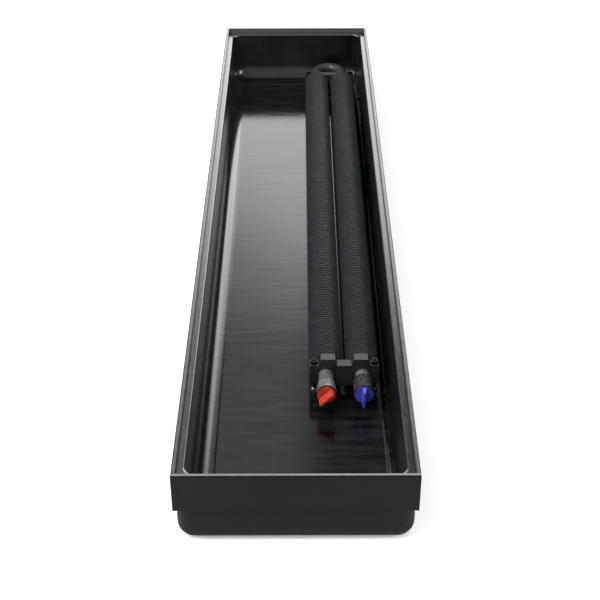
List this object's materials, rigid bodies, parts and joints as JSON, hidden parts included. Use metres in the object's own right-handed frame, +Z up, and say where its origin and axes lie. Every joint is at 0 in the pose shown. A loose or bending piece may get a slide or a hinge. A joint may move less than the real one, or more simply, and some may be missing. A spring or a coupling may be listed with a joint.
{
  "type": "trench convector heater",
  "caption": "Long black floor trough with a framed edge and an inner seat, holding a two-tube finned heat exchanger with capped connections on levelling screws.",
  "frame": {"origin": "middle of the underside", "axes": "+X across the trough, towards the exchanger's side; +Y along the trough, away from the connections; +Z up"},
  "size_m": [0.26, 1.25, 0.094],
  "materials": {
    "gloss_black_sheet": "glossy black coating on drawn sheet, faintly uneven",
    "rough_black_shell": "coarse moulded black surface",
    "anodised_frame": "satin black anodised",
    "zinc_steel": "zinc plated",
    "black_pipe": "satin black coating",
    "black_fins": "black coated",
    "worn_steel": "turned steel with worn grey coating",
    "dark_steel": "turned steel with dark coating",
    "bracket_plastic": "moulded, satin",
    "bush_rubber": "matte",
    "insert_brass": "turned",
    "seal_rubber": "matte",
    "red_plug": "moulded, satin",
    "blue_plug": "moulded, satin",
    "screw_steel": "zinc plated"
  },
  "bodies": {
    "trough": {"tray": "gloss_black_sheet", "insulating_shell": "rough_black_shell", "frame_bar_left": "anodised_frame", "frame_bar_right": "anodised_frame", "frame_bar_front": "anodised_frame", "frame_bar_rear": "anodised_frame", "corner_cleats": "zinc_steel", "cleat_screws": "zinc_steel"},
    "exchanger": {"supply_pipe": "black_pipe", "return_pipe": "black_pipe", "return_bend": "black_pipe", "supply_fins": "black_fins", "return_fins": "black_fins", "supply_socket": "worn_steel", "return_socket": "dark_steel", "front_bracket": "bracket_plastic", "rear_bracket": "bracket_plastic", "pipe_bushes": "bush_rubber", "ear_inserts": "insert_brass"},
    "supply_seal_ring": {"supply_seal": "seal_rubber"},
    "supply_plug_body": {"supply_plug": "red_plug"},
    "return_seal_ring": {"return_seal": "seal_rubber"},
    "return_plug_body": {"return_plug": "blue_plug"},
    "front_left_foot": {"front_left_pad": "seal_rubber"},
    "front_left_levelling_screw": {"front_left_screw": "screw_steel"},
    "front_right_foot": {"front_right_pad": "seal_rubber"},
    "front_right_levelling_screw": {"front_right_screw": "screw_steel"},
    "rear_left_foot": {"rear_left_pad": "seal_rubber"},
    "rear_left_levelling_screw": {"rear_left_screw": "screw_steel"},
    "rear_right_foot": {"rear_right_pad": "seal_rubber"},
    "rear_right_levelling_screw": {"rear_right_screw": "screw_steel"}
  },
  "joints": [
    {"name": "exchanger_lift", "type": "slide", "parent": "trough", "child": "exchanger", "axis": [0, 0, 1], "range_m": [0, 0.1]},
    {"name": "supply_plug_travel", "type": "slide", "parent": "exchanger", "child": "supply_seal_ring", "axis": [0, -1, 0], "range_m": [0, 0.0091]},
    {"name": "supply_plug_turn", "type": "hinge", "parent": "supply_seal_ring", "child": "supply_plug_body", "pos_m": [0.0367, -0.405, 0.0318], "axis": [0, -1, 0], "range_deg": [0, 1800]},
    {"name": "return_plug_travel", "type": "slide", "parent": "exchanger", "child": "return_seal_ring", "axis": [0, -1, 0], "range_m": [0, 0.0091]},
    {"name": "return_plug_turn", "type": "hinge", "parent": "return_seal_ring", "child": "return_plug_body", "pos_m": [0.0817, -0.405, 0.0318], "axis": [0, -1, 0], "range_deg": [0, 1800]},
    {"name": "front_left_foot_travel", "type": "slide", "parent": "exchanger", "child": "front_left_foot", "axis": [0, 0, 1], "range_m": [0, 0.0128]},
    {"name": "front_left_screw_turn", "type": "hinge", "parent": "front_left_foot", "child": "front_left_levelling_screw", "pos_m": [0.0219, -0.3625, 0.03], "axis": [0, 0, 1], "range_deg": [0, 6480]},
    {"name": "front_right_foot_travel", "type": "slide", "parent": "exchanger", "child": "front_right_foot", "axis": [0, 0, 1], "range_m": [0, 0.0128]},
    {"name": "front_right_screw_turn", "type": "hinge", "parent": "front_right_foot", "child": "front_right_levelling_screw", "pos_m": [0.0965, -0.3625, 0.03], "axis": [0, 0, 1], "range_deg": [0, 6480]},
    {"name": "rear_left_foot_travel", "type": "slide", "parent": "exchanger", "child": "rear_left_foot", "axis": [0, 0, 1], "range_m": [0, 0.0128]},
    {"name": "rear_left_screw_turn", "type": "hinge", "parent": "rear_left_foot", "child": "rear_left_levelling_screw", "pos_m": [0.0219, 0.5245, 0.03], "axis": [0, 0, 1], "range_deg": [0, 6480]},
    {"name": "rear_right_foot_travel", "type": "slide", "parent": "exchanger", "child": "rear_right_foot", "axis": [0, 0, 1], "range_m": [0, 0.0128]},
    {"name": "rear_right_screw_turn", "type": "hinge", "parent": "rear_right_foot", "child": "rear_right_levelling_screw", "pos_m": [0.0965, 0.5245, 0.03], "axis": [0, 0, 1], "range_deg": [0, 6480]}
  ],
  "couplings": [
    {"joint": "supply_plug_travel", "follows": "supply_plug_turn", "m_per_rad": 0.00028871},
    {"joint": "return_plug_travel", "follows": "return_plug_turn", "m_per_rad": 0.00028871},
    {"joint": "front_left_screw_turn", "follows": "front_left_foot_travel", "rad_per_m": 7854},
    {"joint": "front_right_screw_turn", "follows": "front_right_foot_travel", "rad_per_m": 7854},
    {"joint": "rear_left_screw_turn", "follows": "rear_left_foot_travel", "rad_per_m": 7854},
    {"joint": "rear_right_screw_turn", "follows": "rear_right_foot_travel", "rad_per_m": 7854}
  ]
}
